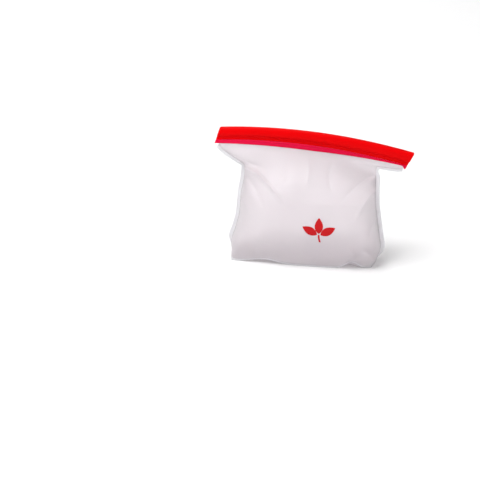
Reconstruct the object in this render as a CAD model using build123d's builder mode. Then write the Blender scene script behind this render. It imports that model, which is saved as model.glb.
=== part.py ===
from build123d import *

import os
from math import atan2, cos, degrees, hypot, radians, sin
from typing import NamedTuple

# A reusable silicone zip bag, standing up and zipped shut.
# Frame: millimetres, +Z up, +X along the zip, -Y is the front, origin on the
# floor under the middle of the base.

# ---- driving dimensions -------------------------------------------------------
wall = 0.8
clearance = 0.3

base_width = 164
base_depth = 62
belly_width = 159
belly_depth = 80
belly_height = 52
shoulder_width = 154
shoulder_depth = 76
shoulder_height = 80
neck_width = 156
neck_depth = 46
neck_height = 97

zip_length = 213
zip_foot_left = 124.5
zip_foot_middle = 124
zip_foot_right = 105.2
zip_slant = 0.23
zip_gap = 1.1
zip_end_length = 6
flange_height = 6.5
flange_thickness = 1.2
grip_height = 13.5
grip_thickness = 1.8

weld_thickness = 1.6
weld_play = 0.5
side_weld_width = 4
base_weld_height = 4
base_weld_thickness = 2 * wall

rib_foot = 9
rib_height = 1.6
rail_height = 1
rail_play = 1.1

leaf_length = 20
leaf_belly = 4.5
leaf_turns = (-62, 0, 62)
stem_length = 8
stem_width = 1.9
mark_across = 14
mark_up = 42
mark_thickness = 0.25

# ---- worked out from them -----------------------------------------------------
FRONT = -1
BACK = 1
LEFT = -1
RIGHT = 1

seam_gap = weld_thickness / 2 + weld_play
panel_foot_height = base_weld_height + clearance
band_height = flange_height + grip_height
zip_half_length = zip_length / 2
band_half_length = zip_half_length - zip_end_length - clearance

# Seen from the front, the zip's foot is an arc over a chord that drops to the right.
zip_drop = zip_foot_left - zip_foot_right
zip_tilt = degrees(atan2(zip_drop, zip_length))
chord_height = (zip_foot_left + zip_foot_right) / 2
chord_half_length = hypot(zip_length, zip_drop) / 2
arch = zip_foot_middle - chord_height
arch_radius = (chord_half_length**2 + arch**2) / (2 * arch)


def level_plane(height, tilt=0.0):
    """A slicing plane at a height over the base's middle, lower on the right by its tilt."""
    return Plane(origin=(0, 0, height)).rotated((0, tilt, 0))


chord_plane = level_plane(chord_height, zip_tilt)
chord_half_band = arch_radius * sin(band_half_length / arch_radius)
arch_centre = chord_plane.from_local_coords((0, 0, arch - arch_radius))


class Level(NamedTuple):
    """One slice through the bag: how wide, how deep and how square it is there."""

    plane: Plane
    half_width: float
    half_depth: float
    squareness: float


floor_level = Level(level_plane(0), base_width / 2, base_depth / 2, 1.4)
wall_levels = [
    Level(level_plane(panel_foot_height), base_width / 2, base_depth / 2, 1.4),
    Level(level_plane(belly_height), belly_width / 2, belly_depth / 2, 1.2),
    Level(level_plane(shoulder_height), shoulder_width / 2, shoulder_depth / 2, 1.0),
    Level(level_plane(neck_height, zip_tilt / 2), neck_width / 2, neck_depth / 2, 0.7),
]


# ---- profiles -----------------------------------------------------------------
def slice_face(level, side, thickness):
    """A thin U-shaped slice of one wall, open towards the bag's middle plane."""
    edge = side * seam_gap
    rims = []
    for depth_in in (0, thickness):
        half = level.half_width - depth_in
        reach = edge + 4 / 3 * (side * (level.half_depth - depth_in) - edge)
        pull = level.squareness * half
        rims.append([(-half, edge), (-pull, reach), (pull, reach), (half, edge)])
    with BuildSketch(level.plane) as sketch:
        with BuildLine():
            outer = Bezier(*rims[0])
            inner = Bezier(*rims[1])
            Line(outer @ 0, inner @ 0)
            Line(outer @ 1, inner @ 1)
        make_face()
    return sketch.sketch


def flat_slice(side):
    """The slice on the zip's chord, where a wall is already flat against the other one."""
    rims = []
    for depth_in in (0, wall):
        half = chord_half_band - depth_in
        depth = side * (zip_gap + wall - depth_in)
        rims.append([(-half, depth), (half, depth)])
    with BuildSketch(chord_plane) as sketch:
        with BuildLine():
            outer = Line(*rims[0])
            inner = Line(*rims[1])
            Line(outer @ 0, inner @ 0)
            Line(outer @ 1, inner @ 1)
        make_face()
    return sketch.sketch


def chord_point(along):
    """A point of the zip's chord, seen from the front."""
    place = chord_plane.from_local_coords((along, 0, 0))
    return (place.X, place.Z)


def zip_point(along, height):
    """A point of the zip seen from the front: how far along it, how high over its foot."""
    turn = (along + zip_slant * height) / arch_radius + radians(zip_tilt)
    radius = arch_radius + height
    return (arch_centre.X + radius * sin(turn), arch_centre.Z + radius * cos(turn))


def zip_strip(start, end, foot, height, side, stand_off):
    """A curved strip of the zip, drawn square from the front on a plane off the middle one."""
    places = (start, (start + end) / 2, end)
    with BuildSketch(Plane.XZ.offset(-side * stand_off)) as sketch:
        with BuildLine():
            low = ThreePointArc(*[zip_point(along, foot) for along in places])
            high = ThreePointArc(*[zip_point(along, foot + height) for along in places])
            Line(low @ 0, high @ 0)
            Line(low @ 1, high @ 1)
        make_face()
    return sketch.sketch


# ---- walls --------------------------------------------------------------------
def make_panel(side, label):
    """One large film wall, from its foot up to the zip's chord."""
    slices = [slice_face(level, side, wall) for level in wall_levels]
    slices.append(flat_slice(side))
    with BuildPart() as panel:
        loft(sections=slices, ruled=True)
    panel.part.label = label
    return panel.part


def make_zip_band(side, label):
    """The coloured strip above one wall: a thin flange on the film, and the grip lip over it."""
    length = band_half_length
    grip = zip_strip(-length, length, flange_height, grip_height, side, zip_gap)
    with BuildPart() as band:
        with BuildSketch(Plane.XZ.offset(-side * zip_gap)):
            with BuildLine():
                top = ThreePointArc(*[zip_point(x, flange_height) for x in (-length, 0, length)])
                foot = Line(chord_point(-chord_half_band), chord_point(chord_half_band))
                Polyline(top @ 0, zip_point(-length, 0), foot @ 0)
                Polyline(top @ 1, zip_point(length, 0), foot @ 1)
            make_face()
        extrude(amount=-side * flange_thickness)
        extrude(grip, amount=-side * grip_thickness)
    band.part.label = label
    return band.part


front_panel = make_panel(FRONT, "front_panel")
back_panel = make_panel(BACK, "back_panel")
front_zip_band = make_zip_band(FRONT, "front_zip_band")
back_zip_band = make_zip_band(BACK, "back_zip_band")

# ---- zip ----------------------------------------------------------------------
rib_reach = 2 * zip_gap - clearance
rib_half_length = band_half_length - 1
with BuildPart() as zip_rib:
    rib = zip_strip(-rib_half_length, rib_half_length, rib_foot, rib_height, FRONT, zip_gap)
    extrude(rib, amount=-rib_reach)
zip_rib.part.label = "zip_rib"

low_rail_foot = rib_foot - rail_play - rail_height
high_rail_foot = rib_foot + rib_height + rail_play
with BuildPart() as zip_channel:
    for rail_foot in (low_rail_foot, high_rail_foot):
        rail = zip_strip(-rib_half_length, rib_half_length, rail_foot, rail_height, BACK, zip_gap)
        extrude(rail, amount=rib_reach)
zip_channel.part.label = "zip_channel"


def make_zip_end(end, label):
    """The block at one end of the zip where both strips are melted into one."""
    inner = end * (zip_half_length - zip_end_length)
    outer = end * zip_half_length
    block = zip_strip(min(inner, outer), max(inner, outer), 0, band_height, FRONT, 0)
    with BuildPart() as zip_end:
        extrude(block, amount=zip_gap + grip_thickness, both=True)
    zip_end.part.label = label
    return zip_end.part


left_zip_end = make_zip_end(LEFT, "left_zip_end")
right_zip_end = make_zip_end(RIGHT, "right_zip_end")


# ---- welds and base -----------------------------------------------------------
def make_side_weld(end, label):
    """The flat seam that joins the two walls up one side, from the floor to the zip."""
    rails = []
    for beyond in (-wall, side_weld_width - wall):
        rail = []
        for level in (floor_level, *wall_levels[1:]):
            place = level.plane.from_local_coords((end * (level.half_width + beyond), 0, 0))
            rail.append((place.X, place.Z))
        rails.append(rail)
    rails[0].append(zip_point(end * (zip_half_length - zip_end_length), 0))
    rails[1].append(zip_point(end * zip_half_length, 0))
    with BuildPart() as side_weld:
        with BuildSketch(Plane.XZ):
            with BuildLine():
                inner = Spline(rails[0])
                outer = Spline(rails[1])
                Line(inner @ 0, outer @ 0)
                Line(inner @ 1, outer @ 1)
            make_face()
        extrude(amount=weld_thickness / 2, both=True)
    side_weld.part.label = label
    return side_weld.part


def make_base_weld(side, label):
    """The low rim where one wall is welded to the base."""
    rim = slice_face(floor_level, side, base_weld_thickness)
    with BuildPart() as base_weld:
        extrude(rim, amount=base_weld_height)
    base_weld.part.label = label
    return base_weld.part


left_side_weld = make_side_weld(LEFT, "left_side_weld")
right_side_weld = make_side_weld(RIGHT, "right_side_weld")
front_base_weld = make_base_weld(FRONT, "front_base_weld")
back_base_weld = make_base_weld(BACK, "back_base_weld")

with BuildPart() as base_gusset:
    with BuildSketch():
        with BuildLine():
            half = floor_level.half_width - base_weld_thickness
            pull = floor_level.squareness * half
            reach = seam_gap + 4 / 3 * (base_depth / 2 - base_weld_thickness - seam_gap)
            front_edge = Bezier(
                (-half, -seam_gap), (-pull, -reach), (pull, -reach), (half, -seam_gap)
            )
            mirror(about=Plane.XZ)
            Line((-half, -seam_gap), (-half, seam_gap))
            Line((half, -seam_gap), (half, seam_gap))
        make_face()
    extrude(amount=wall)
base_gusset.part.label = "base_gusset"

# ---- printed mark -------------------------------------------------------------
with BuildSketch() as leaf:
    with BuildLine():
        ThreePointArc((0, 0), (leaf_belly, leaf_length / 2), (0, leaf_length))
        ThreePointArc((0, 0), (-leaf_belly, leaf_length / 2), (0, leaf_length))
    make_face()

# The print is the front panel moved out by the ink's thickness, less the panel itself.
with BuildPart() as printed_mark:
    add(front_panel.moved(Location((0, -mark_thickness, 0))))
    with BuildSketch(Plane.XZ.offset(belly_depth)):
        for turn in leaf_turns:
            with Locations(Location((mark_across, mark_up), turn)):
                add(leaf.sketch)
        with Locations((mark_across, mark_up - stem_length / 2)):
            Rectangle(stem_width, stem_length + stem_width)
    extrude(amount=-belly_depth, mode=Mode.INTERSECT)
    add(front_panel, mode=Mode.SUBTRACT)
printed_mark.part.label = "printed_mark"

# ---- export -------------------------------------------------------------------
pieces = [
    front_panel,
    back_panel,
    front_zip_band,
    back_zip_band,
    zip_rib.part,
    zip_channel.part,
    left_zip_end,
    right_zip_end,
    left_side_weld,
    right_side_weld,
    front_base_weld,
    back_base_weld,
    base_gusset.part,
    printed_mark.part,
]
os.makedirs("parts", exist_ok=True)
for piece in pieces:
    export_step(piece, f"parts/{piece.label}.step")
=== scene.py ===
import math

import bpy
import numpy as np
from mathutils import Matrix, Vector
from mathutils.bvhtree import BVHTree


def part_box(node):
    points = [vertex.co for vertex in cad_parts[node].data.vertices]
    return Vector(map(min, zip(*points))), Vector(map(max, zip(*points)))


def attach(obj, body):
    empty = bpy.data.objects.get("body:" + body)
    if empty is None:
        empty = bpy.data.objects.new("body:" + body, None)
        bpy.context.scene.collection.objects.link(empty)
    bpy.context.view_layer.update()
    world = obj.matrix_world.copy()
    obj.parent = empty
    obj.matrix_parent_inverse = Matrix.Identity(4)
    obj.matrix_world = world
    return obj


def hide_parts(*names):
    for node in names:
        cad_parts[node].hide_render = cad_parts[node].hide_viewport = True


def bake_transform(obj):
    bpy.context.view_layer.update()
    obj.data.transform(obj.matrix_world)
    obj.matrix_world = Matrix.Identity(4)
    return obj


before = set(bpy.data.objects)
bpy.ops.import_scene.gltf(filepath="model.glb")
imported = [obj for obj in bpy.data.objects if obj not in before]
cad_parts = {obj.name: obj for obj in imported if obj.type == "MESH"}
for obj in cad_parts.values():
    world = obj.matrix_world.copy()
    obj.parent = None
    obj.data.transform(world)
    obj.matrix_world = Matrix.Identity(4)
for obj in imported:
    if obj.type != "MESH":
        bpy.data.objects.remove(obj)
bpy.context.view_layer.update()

# A reusable silicone zip bag, standing and zipped shut. The shapes are worked out in
# millimetres, in the frame of the CAD model, and turned to metres as each mesh is made.

MM = 0.001


def node_box(node):
    """A CAD node's lowest and highest corners, in millimetres."""
    low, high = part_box(node)
    return np.array(low) / MM, np.array(high) / MM


# ---- sizes that come from the frame -------------------------------------------------
_, rim_high = node_box("front_base_weld")
left_weld_low, left_weld_high = node_box("left_side_weld")
_, right_weld_high = node_box("right_side_weld")

# The soft film stands in a little from the CAD model's rim. Its zip droops at both ends and
# arches between them.
RIM_INSET = 1.5
DROOP_LEFT = 0.5
DROOP_RIGHT = 1.5
ZIP_ARCH = 8.5

FRONT, BACK = -1, 1
BASE_HALF_WIDTH = rim_high[0] - RIM_INSET
RIM_HEIGHT = rim_high[2]
ZIP_HALF_LENGTH = (right_weld_high[0] - left_weld_low[0]) / 2
FOOT_LEFT = left_weld_high[2] - DROOP_LEFT
FOOT_RIGHT = right_weld_high[2] - DROOP_RIGHT
FOOT_MIDDLE = (FOOT_LEFT + FOOT_RIGHT) / 2 + ZIP_ARCH

# ---- zip sizes ----------------------------------------------------------------------
BAND_HEIGHT = 20.0
LIP_FOOT = 5.6
ZIP_END_LENGTH = 6.0
# How far inside an end block each bar of the zip reaches.
BAND_OVERLAP = 0.4
# Rings of points along each half of a bar.
BAND_STATIONS = 96
# The zip is laid a little to the left. These are where its foot ends, its slant and its
# backward lean in degrees, at its left and right ends.
ZIP_LEFT = -ZIP_HALF_LENGTH - 1.8
ZIP_RIGHT = ZIP_HALF_LENGTH - 5.4
SLANT_LEFT = 0.32
SLANT_RIGHT = 0.50
LEAN_LEFT = 8.0
LEAN_RIGHT = -8.0
# How far the flange's foot has risen at the zip's left and right ends, and how late it
# rises, as the power to which the share of the way out is taken. The right one comes most
# of the way down again over the last part of the zip, from FLANGE_DROP_START of the way.
FLANGE_RISE_LEFT = 2.0
FLANGE_RISE_RIGHT = 4.6
FLANGE_CURVE_LEFT = 2
FLANGE_CURVE_RIGHT = 1.2
FLANGE_DROP = 0.7
FLANGE_DROP_START = 0.95

# ---- film sizes ---------------------------------------------------------------------
FILM = 0.8
SEAM_GAP = FILM + 0.05
LEAST_SEAM_GAP = 0.05
COLUMNS = 184
ROWS = 128
# Above 1, the rows of points crowd towards the zip, where the wings spread out.
ROW_CROWDING = 1.4
# Above the walls, each film runs on between the zip's flanges as a tongue.
TONGUE_ROWS = 5
TONGUE_STEP = 1.2
# Folds fade out at the seams, by the sine of the angle round the bag, and at the floor and
# the zip, by the share of the way up.
SEAM_FADE = (0.02, 0.3)
FLOOR_FADE = (0.0, 0.08)
ZIP_FADE = (0.93, 1.0)
# The film is level at the floor and follows the zip's arch and drop further up.
ARCH_FADE = (0.3, 1.0)

# Heights as shares of the zip foot's height, and what the film does at each: how far it
# reaches to the left and right as shares of the base, how deep it is, how square, how flat.
SHARES = np.array([0.0, 0.14, 0.24, 0.40, 0.60, 0.74, 0.82, 0.87, 0.92, 0.96, 0.985, 1.0])
REACH_LEFT = np.array(
    [1.01, 1.04, 1.00, 0.945, 0.915, 0.880, 0.878, 0.985, 1.10, 1.175, 1.207, 1.225]
)
REACH_RIGHT = np.array(
    [0.80, 0.935, 0.915, 0.88, 0.845, 0.84, 0.842, 0.84, 0.838, 0.855, 1.10, 1.17]
)
DEPTHS = np.array([27.0, 34.0, 37.5, 40.5, 40.0, 33.0, 25.5, 19.0, 12.0, 6.5, 2.6, 0.45])
SQUARENESS = np.array([5.0, 3.6, 3.0, 2.6, 2.4, 2.2, 2.1, 2.0, 2.0, 2.0, 2.0, 2.0])
FLATNESS = np.array([0.0, 0.0, 0.0, 0.0, 0.0, 0.1, 0.3, 0.6, 0.9, 1.0, 1.0, 1.0])

# A fold is a crest or a valley along a curve seen from the front, through three places:
# (start, middle, end, reach to each side, how proud). It falls away from a rounded crest
# and fades over the first and last parts of its length.
FOLD_FALL = 1.6
CREST_ROUNDING = 0.15
FOLD_START_FADE = (0.0, 0.3)
FOLD_END_FADE = (0.65, 1.0)
FOLD_STEPS = 49
FRONT_FOLDS = [
    ((-100, 121), (-82, 107), (-50, 97), 4.0, 2.4),
    ((-92, 118), (-72, 109), (-40, 106), 4.5, -1.6),
    ((-70, 104), (-44, 92), (-18, 68), 3.2, 3.2),
    ((-76, 96), (-58, 84), (-44, 62), 5.0, -2.4),
    ((-80, 78), (-66, 66), (-58, 44), 4.5, 1.3),
    ((-30, 118), (-26, 104), (-32, 90), 4.0, -1.2),
    ((-6, 119), (0, 104), (-4, 86), 5.0, 1.2),
    ((26, 118), (22, 102), (30, 84), 4.5, -1.3),
    ((100, 106), (80, 100), (50, 92), 4.0, 1.8),
    ((84, 100), (58, 96), (34, 76), 4.0, -1.8),
    ((80, 90), (62, 78), (52, 52), 4.5, 2.3),
    ((82, 60), (70, 48), (66, 26), 5.0, -1.2),
    ((-4, 62), (14, 54), (40, 58), 6.0, -0.9),
    ((-66, 34), (-44, 26), (-20, 30), 6.0, 0.9),
    ((48, 3), (52, 14), (46, 30), 4.0, 1.4),
    ((-52, 3), (-56, 14), (-50, 28), 4.0, 1.2),
    ((74, 2), (70, 14), (60, 24), 3.5, 1.2),
]
BACK_FOLDS = [
    ((-100, 121), (-80, 107), (-48, 96), 4.0, 2.2),
    ((-84, 100), (-58, 92), (-36, 66), 4.0, -1.8),
    ((-78, 80), (-60, 66), (-52, 40), 4.5, 1.4),
    ((100, 106), (78, 100), (46, 90), 4.0, 1.8),
    ((80, 88), (56, 78), (40, 50), 4.0, 1.8),
    ((20, 118), (12, 100), (18, 80), 5.0, -1.3),
    ((-20, 118), (-14, 104), (-24, 84), 5.0, 1.1),
    ((-30, 50), (0, 40), (28, 52), 6.0, -1.0),
    ((50, 3), (54, 14), (46, 30), 4.0, 1.3),
    ((-50, 3), (-54, 14), (-46, 30), 4.0, 1.3),
]
# Broad hollows and swells: (across, height, radius, how proud). Over them all run low
# waves, each one longer than the last.
RIPPLE_DEPTH = 0.28
RIPPLE_WAVES = 5
SHORTEST_RIPPLE = 8.0
RIPPLE_STEP = 3.5
# In radians: how far each wave's direction is turned from the last one's, and how far its
# crests are shifted from the last one's and by the wall's seed.
RIPPLE_TURN = 1.9
RIPPLE_SHIFT = 1.3
RIPPLE_SEED_SHIFT = 2.1
FRONT_SWELLS = [
    (-42, 60, 22, 1.6), (8, 84, 20, -1.8), (46, 70, 16, -1.6), (-8, 34, 20, 1.0),
    (62, 34, 16, 1.4), (-62, 22, 14, -1.4), (28, 16, 16, -1.2), (-20, 92, 12, 1.4),
]
BACK_SWELLS = [
    (36, 58, 22, 1.6), (-10, 80, 20, -1.8), (-48, 48, 18, 1.4), (10, 26, 18, -1.4),
    (62, 40, 15, -1.2), (-20, 20, 14, 1.2),
]

# Round the base, by angle from the left seam in degrees, ears stand out at the corners and
# the rim is tucked up between them: (angle, spread, outward, upward).
FRONT_TUCKS = [
    (0, 14.0, -2.0, 5.0),
    (36, 7.0, 4.0, 0.0),
    (60, 11.0, -2.0, 4.0),
    (128, 7.0, -2.0, 6.5),
    (150, 8.0, 4.0, 0.0),
    (180, 9.0, 0.0, 2.0),
]
BACK_TUCKS = [
    (0, 14.0, -2.0, 5.0),
    (36, 8.0, 4.0, 0.0),
    (64, 11.0, -2.0, 3.0),
    (116, 11.0, -2.0, 3.0),
    (148, 12.0, 1.5, 0.0),
    (180, 9.0, 0.0, 2.0),
]
EAR_HEIGHT = 10.0
TUCK_HEIGHT = 24.0
# Edges that turn more sharply than this stay crisp.
SHARP_ANGLE = math.radians(50)


# ---- curves and places --------------------------------------------------------------
def smooth_track(values, at):
    """A smooth curve through the values given at SHARES that never swings past them."""
    rises = np.diff(values) / np.diff(SHARES)
    product = rises[:-1] * rises[1:]
    total = np.where(product > 0, rises[:-1] + rises[1:], 1.0)
    inner_slopes = np.where(product > 0, 2 * product / total, 0.0)
    slopes = np.concatenate([rises[:1], inner_slopes, rises[-1:]])
    index = np.clip(np.searchsorted(SHARES, at) - 1, 0, len(SHARES) - 2)
    step = SHARES[index + 1] - SHARES[index]
    t = (at - SHARES[index]) / step
    low, high = values[index], values[index + 1]
    slope_low, slope_high = slopes[index] * step, slopes[index + 1] * step
    return (
        (2 * t**3 - 3 * t**2 + 1) * low
        + (t**3 - 2 * t**2 + t) * slope_low
        + (3 * t**2 - 2 * t**3) * high
        + (t**3 - t**2) * slope_high
    )


def smooth_step(value, start, end):
    """0 before start, 1 after end, with a soft rise between."""
    t = np.clip((value - start) / (end - start), 0, 1)
    return t * t * (3 - 2 * t)


def unit(vectors):
    """Vectors at length 1."""
    return vectors / np.linalg.norm(vectors, axis=-1, keepdims=True)


def zip_foot(across):
    """Height of the zip's foot at a distance across: an arch that drops to the right."""
    share = across / ZIP_HALF_LENGTH
    level = (FOOT_LEFT + FOOT_RIGHT) / 2 + (FOOT_RIGHT - FOOT_LEFT) / 2 * share
    return level + (FOOT_MIDDLE - (FOOT_LEFT + FOOT_RIGHT) / 2) * (1 - share**2)


def zip_place(side, across, outward, height):
    """A place on the zip: across its foot, outward from its middle and up its height."""
    share = (across - ZIP_LEFT) / (ZIP_RIGHT - ZIP_LEFT)
    lean = np.radians(LEAN_LEFT + (LEAN_RIGHT - LEAN_LEFT) * share)
    x = across + (SLANT_LEFT + (SLANT_RIGHT - SLANT_LEFT) * share) * height
    y = side * outward * np.cos(lean) + height * np.sin(lean)
    z = zip_foot(across) + height * np.cos(lean) - side * outward * np.sin(lean)
    return np.stack(np.broadcast_arrays(x, y, z), axis=-1)


# ---- meshes -------------------------------------------------------------------------
def new_piece(name, points, faces, material):
    """A mesh object from points in millimetres, smooth apart from its sharp edges."""
    mesh = bpy.data.meshes.new(name)
    mesh.from_pydata((np.asarray(points).reshape(-1, 3) * MM).tolist(), [], faces)
    mesh.validate()
    mesh.polygons.foreach_set("use_smooth", [True] * len(mesh.polygons))
    mesh.set_sharp_from_angle(angle=SHARP_ANGLE)
    mesh.materials.append(material)
    piece = bpy.data.objects.new(name, mesh)
    bpy.context.scene.collection.objects.link(piece)
    return piece


def sheet_faces(rows, columns, start, flip):
    """The quads of a grid of points whose first point has the number start."""
    faces = []
    for row in range(rows - 1):
        for column in range(columns - 1):
            corner = start + row * columns + column
            quad = (corner, corner + 1, corner + columns + 1, corner + columns)
            faces.append(quad[::-1] if flip else quad)
    return faces


def shell_piece(name, outer, inner, flip, material):
    """A closed shell between two grids of points, with a rim round their edges."""
    rows, columns = outer.shape[:2]
    count = rows * columns
    faces = sheet_faces(rows, columns, 0, flip)
    faces += sheet_faces(rows, columns, count, not flip)
    edge = list(range(columns))
    edge += [row * columns + columns - 1 for row in range(1, rows)]
    edge += [(rows - 1) * columns + column for column in range(columns - 2, -1, -1)]
    edge += [row * columns for row in range(rows - 2, 0, -1)]
    for first, second in zip(edge, edge[1:] + edge[:1]):
        quad = (second, first, first + count, second + count)
        faces.append(quad[::-1] if flip else quad)
    points = np.concatenate([outer.reshape(-1, 3), inner.reshape(-1, 3)])
    return new_piece(name, points, faces, material)


def swept_piece(name, stations, material):
    """A closed bar through stations, each a ring of points, with both ends capped."""
    count, ring = stations.shape[:2]
    faces = []
    for station in range(count - 1):
        for point in range(ring):
            after = (point + 1) % ring
            low, high = station * ring, (station + 1) * ring
            faces.append((low + point, low + after, high + after, high + point))
    faces.append(tuple(range(ring))[::-1])
    faces.append(tuple((count - 1) * ring + point for point in range(ring)))
    return new_piece(name, stations, faces, material)


def rounded(profile, passes=2):
    """A closed profile with every corner cut back by a quarter of its sides, in passes."""
    points = np.array(profile, float)
    for _ in range(passes):
        after = np.roll(points, -1, axis=0)
        points = np.stack([0.75 * points + 0.25 * after, 0.25 * points + 0.75 * after], 1)
        points = points.reshape(-1, 2)
    return points


# ---- materials ----------------------------------------------------------------------
CLOUD_SCALE = 26.0
CLOUD_DETAIL = 4.0
GRAIN_DETAIL = 3.0
GRAIN_STRENGTH = 0.35
POLISH_SPREAD = 0.07


def silicone(name, pale, deep, roughness, grain_size, grain_depth, **settings):
    """A moulded finish: soft clouds between two colours, uneven polish and a fine grain."""
    material = bpy.data.materials.new(name)
    material.use_nodes = True
    nodes, links = material.node_tree.nodes, material.node_tree.links
    shader = nodes["Principled BSDF"]
    for socket, value in settings.items():
        shader.inputs[socket.replace("_", " ")].default_value = value
    place = nodes.new("ShaderNodeTexCoord")

    clouds = nodes.new("ShaderNodeTexNoise")
    clouds.inputs["Scale"].default_value = CLOUD_SCALE
    clouds.inputs["Detail"].default_value = CLOUD_DETAIL
    links.new(place.outputs["Object"], clouds.inputs["Vector"])
    tint = nodes.new("ShaderNodeMix")
    tint.data_type = "RGBA"
    tint.inputs["A"].default_value = (*pale, 1)
    tint.inputs["B"].default_value = (*deep, 1)
    links.new(clouds.outputs["Fac"], tint.inputs["Factor"])
    links.new(tint.outputs["Result"], shader.inputs["Base Color"])

    grain = nodes.new("ShaderNodeTexNoise")
    grain.inputs["Scale"].default_value = 1 / grain_size
    grain.inputs["Detail"].default_value = GRAIN_DETAIL
    links.new(place.outputs["Object"], grain.inputs["Vector"])
    polish = nodes.new("ShaderNodeMapRange")
    polish.inputs["To Min"].default_value = roughness - POLISH_SPREAD
    polish.inputs["To Max"].default_value = roughness + POLISH_SPREAD
    links.new(grain.outputs["Fac"], polish.inputs["Value"])
    links.new(polish.outputs["Result"], shader.inputs["Roughness"])
    bump = nodes.new("ShaderNodeBump")
    bump.inputs["Strength"].default_value = GRAIN_STRENGTH
    bump.inputs["Distance"].default_value = grain_depth
    links.new(grain.outputs["Fac"], bump.inputs["Height"])
    links.new(bump.outputs["Normal"], shader.inputs["Normal"])
    return material


film_finish = silicone(
    "frosted_film", (0.965, 0.925, 0.945), (0.915, 0.865, 0.895),
    roughness=0.40, grain_size=0.0022, grain_depth=0.00008,
    Transmission_Weight=0.70, IOR=1.30, Alpha=0.78,
)
weld_finish = silicone(
    "melted_film", (0.93, 0.92, 0.94), (0.86, 0.85, 0.88),
    roughness=0.36, grain_size=0.0012, grain_depth=0.00008,
    Transmission_Weight=0.45, IOR=1.41,
)
lip_finish = silicone(
    "red_silicone", (0.82, 0.0003, 0.002), (0.72, 0.0002, 0.001),
    roughness=0.42, grain_size=0.0011, grain_depth=0.00004,
    IOR=1.41, Specular_IOR_Level=0.06,
)
flange_finish = silicone(
    "crimson_silicone", (0.86, 0.004, 0.062), (0.74, 0.003, 0.048),
    roughness=0.45, grain_size=0.0009, grain_depth=0.00004,
    IOR=1.41, Specular_IOR_Level=0.12,
)
ink_finish = silicone(
    "red_ink", (0.62, 0.008, 0.012), (0.50, 0.005, 0.008),
    roughness=0.50, grain_size=0.0006, grain_depth=0.00003,
    IOR=1.45, Specular_IOR_Level=0.20,
)


# ---- film ---------------------------------------------------------------------------
def film_base(side, share, angle, tucks):
    """The film's outer face without its folds: share up the wall, angle from the left seam."""
    cosine, sine = np.cos(angle), np.sin(angle)
    square = smooth_track(SQUARENESS, share)
    radius = (np.abs(cosine) ** square + np.abs(sine) ** square) ** (-1 / square)
    flat = smooth_track(FLATNESS, share)
    left = smooth_track(REACH_LEFT, share)
    right = smooth_track(REACH_RIGHT, share)
    reach = BASE_HALF_WIDTH * np.where(cosine > 0, left, right)
    x = -reach * cosine * (radius * (1 - flat) + flat)
    y = SEAM_GAP + smooth_track(DEPTHS, share) * (sine * radius * (1 - flat) + sine**3 * flat)
    z = share * FOOT_MIDDLE + (zip_foot(x) - FOOT_MIDDLE) * smooth_step(share, *ARCH_FADE)

    degrees = np.degrees(angle)
    outward, upward = np.zeros_like(x), np.zeros_like(x)
    for place, spread, out, up in tucks:
        bump = np.exp(-(((degrees - place) / spread) ** 2))
        outward += out * bump * np.exp(-((z / EAR_HEIGHT) ** 2))
        upward += up * bump * np.exp(-((z / TUCK_HEIGHT) ** 2))
    x = x - outward * cosine
    y = y + outward * sine
    return np.stack([x, side * y, np.maximum(z + upward, 0.0)], axis=-1)


def outward_normals(points, side):
    """Unit normals of a wall's grid, pointing out of the bag."""
    along = np.gradient(points, axis=1)
    up = np.gradient(points, axis=0)
    normal = unit(np.cross(along, up))
    return normal * -side


def fold_lift(points, folds):
    """How far the folds push the film out at each point."""
    across, height = points[..., 0], points[..., 2]
    lift = np.zeros_like(across)
    for start, middle, end, reach, proud in folds:
        nearest, place = np.full_like(across, np.inf), np.zeros_like(across)
        for t in np.linspace(0, 1, FOLD_STEPS):
            shares = ((1 - t) * (1 - 2 * t), 4 * t * (1 - t), t * (2 * t - 1))
            x, z = np.dot(shares, (start, middle, end))
            distance = np.hypot(across - x, height - z)
            place = np.where(distance < nearest, t, place)
            nearest = np.minimum(distance, nearest)
        ends = smooth_step(place, *FOLD_START_FADE) * (1 - smooth_step(place, *FOLD_END_FADE))
        away = np.sqrt((nearest / reach) ** 2 + CREST_ROUNDING**2) - CREST_ROUNDING
        lift += proud * np.exp(-FOLD_FALL * away) * ends
    return lift


def swell_lift(points, swells):
    """How far the broad swells and hollows push the film out at each point."""
    lift = np.zeros(points.shape[:-1])
    for x, z, radius, proud in swells:
        distance = np.hypot(points[..., 0] - x, points[..., 2] - z)
        lift += proud * np.exp(-((distance / radius) ** 2))
    return lift


def ripple(points, seed):
    """Low, broad waves, so that no stretch of film is perfectly even."""
    waves = np.zeros(points.shape[:-1])
    for wave in range(RIPPLE_WAVES):
        angle = seed + RIPPLE_TURN * wave
        along = points[..., 0] * math.cos(angle) + points[..., 2] * math.sin(angle)
        length = SHORTEST_RIPPLE + RIPPLE_STEP * wave
        waves += np.sin(along / length + RIPPLE_SEED_SHIFT * seed + RIPPLE_SHIFT * wave)
    return RIPPLE_DEPTH * waves


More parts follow.
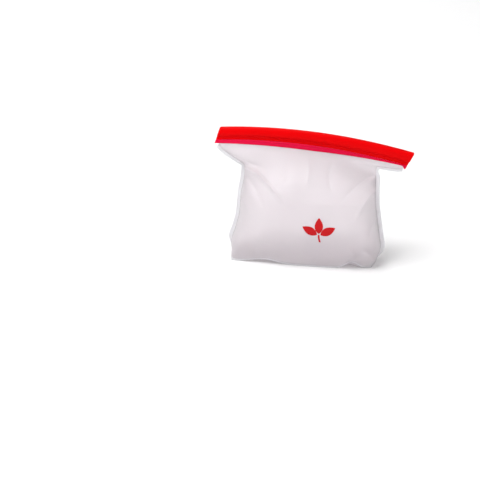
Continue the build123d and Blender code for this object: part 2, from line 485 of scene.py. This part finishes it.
def film_grids(side, folds, swells, tucks, seed):
    """A wall's outer and inner faces, from the floor up to a tongue inside the zip band."""
    angle = np.linspace(0, math.pi, COLUMNS + 1)[None, :] * np.ones((ROWS, 1))
    share = 1 - np.linspace(1, 0, ROWS)[:, None] ** ROW_CROWDING * np.ones((1, COLUMNS + 1))
    wall = film_base(side, share, angle, tucks)
    fade = smooth_step(np.sin(angle), *SEAM_FADE)
    fade *= 1 - smooth_step(share, *ZIP_FADE)
    fade *= smooth_step(share, *FLOOR_FADE)
    lift = fade * (fold_lift(wall, folds) + swell_lift(wall, swells) + ripple(wall, seed))
    wall = wall + outward_normals(wall, side) * lift[..., None]

    foot = film_base(side, np.ones((1, COLUMNS + 1)), angle[:1], tucks)[0]
    tongue = [
        zip_place(side, foot[:, 0], np.abs(foot[:, 1]), TONGUE_STEP * row)
        for row in range(1, TONGUE_ROWS + 1)
    ]
    outer = np.concatenate([wall, np.array(tongue)])
    inner = outer - outward_normals(outer, side) * FILM
    inner[..., 1] = side * np.maximum(side * inner[..., 1], LEAST_SEAM_GAP)
    inner[..., 2] = np.maximum(inner[..., 2], 0.0)
    return outer, inner


def halves():
    """The two halves of a wall: name, side of the bag's middle, and columns of the grid."""
    middle = COLUMNS // 2
    return (("left", -1, slice(0, middle + 1)), ("right", 1, slice(middle, COLUMNS + 1)))


def bend_with_wall(piece):
    """Bakes the piece's placement into its mesh."""
    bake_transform(piece)


WALLS = (
    ("front", FRONT, FRONT_FOLDS, FRONT_SWELLS, FRONT_TUCKS, 0.7),
    ("back", BACK, BACK_FOLDS, BACK_SWELLS, BACK_TUCKS, 2.9),
)
film = {}
for wall_name, side, folds, swells, tucks, seed in WALLS:
    outer, inner = film_grids(side, folds, swells, tucks, seed)
    film[side] = (outer, inner)
    for end_name, end, columns in halves():
        name = f"{wall_name}_film_{end_name}"
        piece = shell_piece(name, outer[:, columns], inner[:, columns], side == BACK, film_finish)
        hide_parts(f"{wall_name}_panel")
        bend_with_wall(piece)


# ---- zip band -----------------------------------------------------------------------
# Profiles are rings of (outward, height) in the band's own section.
LIP_OUTER = [
    (1.4, LIP_FOOT + 0.3), (1.7, LIP_FOOT + 0.3), (1.75, LIP_FOOT + 1.0),
    (1.6, LIP_FOOT + 2.2), (1.6, LIP_FOOT + 3.4), (2.2, LIP_FOOT + 4.4),
    (3.7, LIP_FOOT + 5.2), (4.2, LIP_FOOT + 6.4), (4.2, LIP_FOOT + 8.4),
    (3.8, LIP_FOOT + 11.0), (3.2, BAND_HEIGHT - 1.6), (2.3, BAND_HEIGHT - 0.2),
    (1.5, BAND_HEIGHT),
]
LIP_PROFILE = rounded([(0.90, LIP_FOOT + 0.8)] + LIP_OUTER + [
    (1.0, BAND_HEIGHT - 0.1), (0.85, BAND_HEIGHT - 0.9), (0.85, LIP_FOOT + 7.0),
])
FLANGE_PROFILE = rounded([
    (1.30, 0.6), (1.35, 0.0), (1.60, -0.25), (1.95, 0.4), (2.15, 1.4), (2.15, LIP_FOOT - 1.6),
    (2.6, LIP_FOOT - 1.2), (2.85, LIP_FOOT - 0.5), (2.2, LIP_FOOT + 0.2),
    (1.30, LIP_FOOT + 0.2), (1.30, 3.0),
])
RIB_PROFILE = rounded([
    (0.95, 9.2), (0.2, 9.3), (-0.2, 8.95), (-0.55, 9.5), (-0.55, 10.1), (-0.2, 10.65),
    (0.2, 10.3), (0.95, 10.4),
], 1)
RAIL_PROFILES = {
    "lower": rounded([(0.95, 6.9), (-0.35, 7.1), (-0.45, 8.1), (-0.1, 8.4), (0.95, 8.3)], 1),
    "upper": rounded([(0.95, 11.3), (-0.1, 11.2), (-0.45, 11.5), (-0.35, 12.5), (0.95, 12.7)], 1),
}


def flange_rise(across):
    """How far the flange's foot has risen at a distance across."""
    left_share = np.clip(across / ZIP_LEFT, 0, 1)
    right_share = np.clip(across / ZIP_RIGHT, 0, 1)
    to_left = FLANGE_RISE_LEFT * left_share**FLANGE_CURVE_LEFT
    to_right = FLANGE_RISE_RIGHT * right_share**FLANGE_CURVE_RIGHT
    drop = 1 - FLANGE_DROP * smooth_step(right_share, FLANGE_DROP_START, 1.0)
    return to_left + to_right * drop


def band_stations(side, start, stop, profile, rises):
    """Rings of a profile along the zip; one that rises keeps its top in place."""
    across = np.linspace(start, stop, BAND_STATIONS)[:, None]
    height = profile[None, :, 1]
    if rises:
        height = height + flange_rise(across) * (1 - height / profile[:, 1].max())
    return zip_place(side, across, profile[None, :, 0], height)


def band_piece(name, side, end, profile, material, node, rises=False):
    """Half of a bar along the zip, from the bag's middle into the end block."""
    tip = ZIP_LEFT if end < 0 else ZIP_RIGHT
    start, stop = sorted((0, tip - end * (ZIP_END_LENGTH - BAND_OVERLAP)))
    piece = swept_piece(name, band_stations(side, start, stop, profile, rises), material)
    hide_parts(node)
    bend_with_wall(piece)


for wall_name, side, *_ in WALLS:
    for end_name, end, _ in halves():
        node = f"{wall_name}_zip_band"
        band_piece(f"{wall_name}_lip_{end_name}", side, end, LIP_PROFILE, lip_finish, node)
        name = f"{wall_name}_flange_{end_name}"
        band_piece(name, side, end, FLANGE_PROFILE, flange_finish, node, rises=True)
for end_name, end, _ in halves():
    band_piece(f"zip_rib_{end_name}", FRONT, end, RIB_PROFILE, lip_finish, "zip_rib")
    for level, profile in RAIL_PROFILES.items():
        name = f"zip_rail_{level}_{end_name}"
        band_piece(name, BACK, end, profile, lip_finish, "zip_channel")

# The end blocks, where both lips are melted into one bar and both flanges into another.
# Each is drawn in towards its outer face: (distance along it, size), less so in height.
END_STATIONS = ((0, 1), (1.5, 1), (3, 1), (4.6, 1), (5.4, 0.985), (5.8, 0.95), (6, 0.88))
END_HEIGHT_SHARE = 0.7
END_HALF_PROFILE = np.array(
    [(1.3, LIP_FOOT), (1.8, LIP_FOOT + 0.1)]
    + [(outward + 0.08, height) for outward, height in LIP_OUTER[2:]]
    + [(0.6, BAND_HEIGHT + 0.05)]
)
END_FOOT_HALF = np.array([
    (0.9, -0.25), (1.7, -0.25), (2.03, 0.4), (2.23, 1.4), (2.23, LIP_FOOT - 1.6),
    (2.68, LIP_FOOT - 1.2), (2.93, LIP_FOOT - 0.5), (2.2, LIP_FOOT + 0.25),
])


def zip_end_piece(name, node, end, half_profile, material, rises=False):
    """One bar of an end block, drawn in a little at its outer face."""
    profile = rounded(np.concatenate([half_profile, half_profile[::-1] * (-1, 1)]))
    middle = np.array([0, (profile[:, 1].min() + profile[:, 1].max()) / 2])
    tip = ZIP_LEFT if end < 0 else ZIP_RIGHT
    stations = []
    for beyond, size in END_STATIONS:
        shrink = np.array([size, 1 - (1 - size) * END_HEIGHT_SHARE])
        ring = (profile - middle) * shrink + middle
        across = tip + end * (beyond - ZIP_END_LENGTH)
        height = ring[:, 1]
        if rises:
            height = height + flange_rise(across) * (1 - height / LIP_FOOT)
        stations.append(zip_place(FRONT, across, ring[:, 0], height))
    piece = swept_piece(name, np.array(stations)[::end], material)
    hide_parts(node)
    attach(piece, "base")


for end_name, end, _ in halves():
    node = f"{end_name}_zip_end"
    zip_end_piece(f"{end_name}_zip_block", node, end, END_HALF_PROFILE, lip_finish)
    name = f"{end_name}_zip_block_foot"
    zip_end_piece(name, node, end, END_FOOT_HALF, flange_finish, rises=True)


# ---- side welds, base rims and base -------------------------------------------------
def framed_sweep(name, line, outs, ups, profile, material):
    """A profile of (outward, up) swept along a line and kept off the floor."""
    stations = (
        line[:, None]
        + outs[:, None] * profile[None, :, :1]
        + ups[:, None] * profile[None, :, 1:]
    )
    stations[..., 2] = np.maximum(stations[..., 2], 0.0)
    return swept_piece(name, stations, material)


# From inside the seam to the fin's rounded edge, thinner where it was pressed flat.
FIN_HALF = [
    (-2.0, 0.70), (-0.4, 0.92), (1.0, 0.92), (2.0, 0.78), (3.3, 0.78), (4.2, 0.45),
]
FIN_PROFILE = rounded(FIN_HALF + [(out, -thick) for out, thick in FIN_HALF[::-1]], 1)
# How much of its width the fin loses under the left and right wings, and the heights
# between which it narrows, as shares of the zip foot's height.
FIN_LOSS = {-1: 0.15, 1: 0.45}
FIN_NARROWING = (0.78, 0.84)

for end_name, end, _ in halves():
    column = 0 if end < 0 else COLUMNS
    line = film[FRONT][0][:ROWS, column].copy()
    line[:, 1] = 0
    along = unit(np.gradient(line, axis=0))
    outs = np.stack([along[:, 2], np.zeros(ROWS), -along[:, 0]], axis=-1) * end
    outs *= 1 - FIN_LOSS[end] * smooth_step(line[:, 2:] / FOOT_MIDDLE, *FIN_NARROWING)
    ups = np.tile([0.0, 1.0, 0.0], (ROWS, 1))
    piece = framed_sweep(f"{end_name}_side_fin", line, outs, ups, FIN_PROFILE, weld_finish)
    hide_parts(f"{end_name}_side_weld")
    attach(piece, "base")

RIM_PROFILE = rounded([
    (-0.6, 0.0), (0.6, 0.0), (0.9, 0.4), (0.6, 1.6), (0.45, RIM_HEIGHT - 0.6),
    (0.2, RIM_HEIGHT), (0.0, RIM_HEIGHT), (-0.1, RIM_HEIGHT - 1.0), (-0.6, 0.9),
], 1)
for wall_name, side, *_ in WALLS:
    line = film[side][0][0].copy()
    along = unit(np.gradient(line, axis=0))
    outs = unit(np.stack([along[:, 1], -along[:, 0], np.zeros(COLUMNS + 1)], axis=-1)) * -side
    ups = np.tile([0.0, 0.0, 1.0], (COLUMNS + 1, 1))
    piece = framed_sweep(f"{wall_name}_base_rim", line, outs, ups, RIM_PROFILE, weld_finish)
    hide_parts(f"{wall_name}_base_weld")
    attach(piece, "base")

# The base film is a closed sheet of rings that shrink towards the bag's middle. Its rim
# follows the walls' lower edges, and further in it is level, with a low crease along it.
BASE_RINGS = 26
BASE_SMALLEST = 0.02
BASE_INSET = np.array([0.993, 0.985, 1.0])
BASE_FILM = 0.75
BASE_LEVEL_SHARE = 0.6
BASE_CREASE_HEIGHT = 0.6
BASE_CREASE_REACH = 4.0
BASE_SAG = 0.5


def base_piece(name, outline):
    """The floor panel inside an outline of points round the bag."""
    shares = np.linspace(1.0, BASE_SMALLEST, BASE_RINGS)[:, None, None]
    top = outline[None] * shares * BASE_INSET
    crease = BASE_CREASE_HEIGHT * np.exp(-((top[..., 1] / BASE_CREASE_REACH) ** 2))
    rim = outline[None, :, 2] * smooth_step(shares[..., 0], BASE_LEVEL_SHARE, 1.0)
    top[..., 2] = rim + FILM + crease + BASE_SAG * (1 - shares[..., 0])
    under = top - np.array([0, 0, BASE_FILM])

    ring = len(outline)
    layer = ring * BASE_RINGS
    centre = layer - ring
    faces = []
    for point in range(ring):
        after = (point + 1) % ring
        for turn in range(BASE_RINGS - 1):
            inward = turn * ring
            quad = (inward + point, inward + after, inward + ring + after, inward + ring + point)
            faces.append(quad)
            faces.append(tuple(corner + layer for corner in quad[::-1]))
        faces.append((point, layer + point, layer + after, after))
    faces.append(tuple(centre + point for point in range(ring)))
    faces.append(tuple(centre + layer + point for point in range(ring))[::-1])
    points = np.concatenate([top.reshape(-1, 3), under.reshape(-1, 3)])
    return new_piece(name, points, faces, film_finish)


piece = base_piece("base_film", np.concatenate([film[FRONT][0][0], film[BACK][0][0][::-1]]))
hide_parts("base_gusset")
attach(piece, "base")

# ---- printed mark -------------------------------------------------------------------
mark_low, mark_high = node_box("printed_mark")
MARK_ACROSS = (mark_low[0] + mark_high[0]) / 2
MARK_FOOT = mark_low[2]
STEM_LENGTH = 8.0
STEM_TOP = 0.8
STEM_HALF_WIDTH = 0.95
STEM_CURVE = 0.02
LEAF_START = 2.1
LEAF_LENGTH = 17.9
LEAF_HALF_WIDTH = 4.5
LEAF_POINT_HALF_WIDTH = 0.02
LEAF_TURNS = (-62, 0, 62)
# Below 1, the first sets a leaf's widest place nearer its root and the second makes its
# sides fuller.
LEAF_SKEW = 0.85
LEAF_FULLNESS = 0.9
LEAF_GRID = (25, 9)
STEM_GRID = (9, 3)
INK_PROUD = 0.16
INK_FOOT = 0.02
BEFORE_THE_BAG = -200.0

outer, _ = film[FRONT]
rows, columns = outer.shape[:2]
print_surface = BVHTree.FromPolygons(
    outer.reshape(-1, 3).tolist(), sheet_faces(rows, columns, 0, False)
)


def printed_patch(name, places):
    """A thin closed patch over a grid of (across, height) places, laid on the front film."""
    tops, feet = [], []
    for across, height in places.reshape(-1, 2):
        start = Vector((across, BEFORE_THE_BAG, height))
        hit, normal, _, _ = print_surface.ray_cast(start, Vector((0, 1, 0)))
        if normal.y > 0:
            normal = -normal
        tops.append(hit + normal * INK_PROUD)
        feet.append(hit + normal * INK_FOOT)
    shape = (*places.shape[:2], 3)
    piece = shell_piece(name, np.reshape(tops, shape), np.reshape(feet, shape), True, ink_finish)
    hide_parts("printed_mark")
    bend_with_wall(piece)


def leaf_places(root, turn):
    """A grid of (across, height) places over one leaf, turned about the sprig's root."""
    rows, columns = LEAF_GRID
    along = np.linspace(0.0, 1.0, rows)[:, None]
    off = np.linspace(-1.0, 1.0, columns)[None, :]
    swelling = np.sin(math.pi * along**LEAF_SKEW) ** LEAF_FULLNESS
    sideways = (LEAF_HALF_WIDTH * swelling + LEAF_POINT_HALF_WIDTH) * off
    forward = LEAF_START + LEAF_LENGTH * along
    across = root[0] - forward * math.sin(turn) + sideways * math.cos(turn)
    height = root[1] + forward * math.cos(turn) + sideways * math.sin(turn)
    return np.stack([across, height], -1)


def stem_places(root):
    """A grid of (across, height) places over the sprig's curved stem."""
    rows, columns = STEM_GRID
    along = np.linspace(-STEM_LENGTH, STEM_TOP, rows)[:, None]
    off = np.linspace(-STEM_HALF_WIDTH, STEM_HALF_WIDTH, columns)[None, :]
    across = root[0] + off + STEM_CURVE * along**2
    return np.stack(np.broadcast_arrays(across, root[1] + along), -1)


sprig_root = (MARK_ACROSS, MARK_FOOT + STEM_LENGTH)
for number, turn in enumerate(LEAF_TURNS, start=1):
    printed_patch(f"mark_leaf_{number}", leaf_places(sprig_root, math.radians(turn)))
printed_patch("mark_stem", stem_places(sprig_root))

# ---- floor, light and camera, in metres ---------------------------------------------
FLOOR_HALF = 6.0
WORLD_STRENGTH = 0.36
BAG_MIDDLE = Vector((0, 0, 0.06))

floor_mesh = bpy.data.meshes.new("floor")
corners = [(-1, -1), (1, -1), (1, 1), (-1, 1)]
floor_mesh.from_pydata(
    [(FLOOR_HALF * x, FLOOR_HALF * y, 0) for x, y in corners], [], [(0, 1, 2, 3)]
)
floor = bpy.data.objects.new("floor", floor_mesh)
bpy.context.scene.collection.objects.link(floor)
floor_mesh.materials.append(silicone(
    "floor_paint", (0.90, 0.90, 0.90), (0.885, 0.885, 0.89),
    roughness=0.75, grain_size=0.004, grain_depth=0.00002,
))

world = bpy.data.worlds.new("studio")
bpy.context.scene.world = world
world.use_nodes = True
world.node_tree.nodes["Background"].inputs["Color"].default_value = (1.0, 1.0, 1.0, 1)
world.node_tree.nodes["Background"].inputs["Strength"].default_value = WORLD_STRENGTH


def soft_light(name, place, size, power):
    """A square soft box at a place, facing the bag."""
    light = bpy.data.lights.new(name, "AREA")
    light.shape = "SQUARE"
    light.size = size
    light.energy = power
    lamp = bpy.data.objects.new(name, light)
    lamp.location = place
    facing = BAG_MIDDLE - Vector(place)
    lamp.rotation_euler = facing.to_track_quat("-Z", "Y").to_euler()
    bpy.context.scene.collection.objects.link(lamp)


soft_light("key", (-1.2, -0.9, 2.6), 2.0, 84.0)
soft_light("fill", (1.6, -2.2, 1.4), 1.6, 12.0)
soft_light("back", (-0.6, 2.2, 1.8), 1.4, 24.0)

# The camera looks down on the bag from its front, a little from its right.
VIEW_AZIMUTH = math.radians(10.0)
VIEW_ELEVATION = math.radians(20.5)
VIEW_DISTANCE = 1.5
AIM_LEFT = 0.0776
AIM_UP = 0.0188
LENS = 101.2
backward = Vector((
    math.sin(VIEW_AZIMUTH) * math.cos(VIEW_ELEVATION),
    -math.cos(VIEW_AZIMUTH) * math.cos(VIEW_ELEVATION),
    math.sin(VIEW_ELEVATION),
))
rightward = Vector((math.cos(VIEW_AZIMUTH), math.sin(VIEW_AZIMUTH), 0))
upward = backward.cross(rightward)
camera_data = bpy.data.cameras.new("camera")
camera_data.lens = LENS
camera = bpy.data.objects.new("camera", camera_data)
aim = upward * AIM_UP - rightward * AIM_LEFT
camera.location = aim + backward * VIEW_DISTANCE
camera.rotation_euler = (-backward).to_track_quat("-Z", "Y").to_euler()
bpy.context.scene.collection.objects.link(camera)
bpy.context.scene.camera = camera
bpy.context.scene.view_settings.view_transform = "Standard"
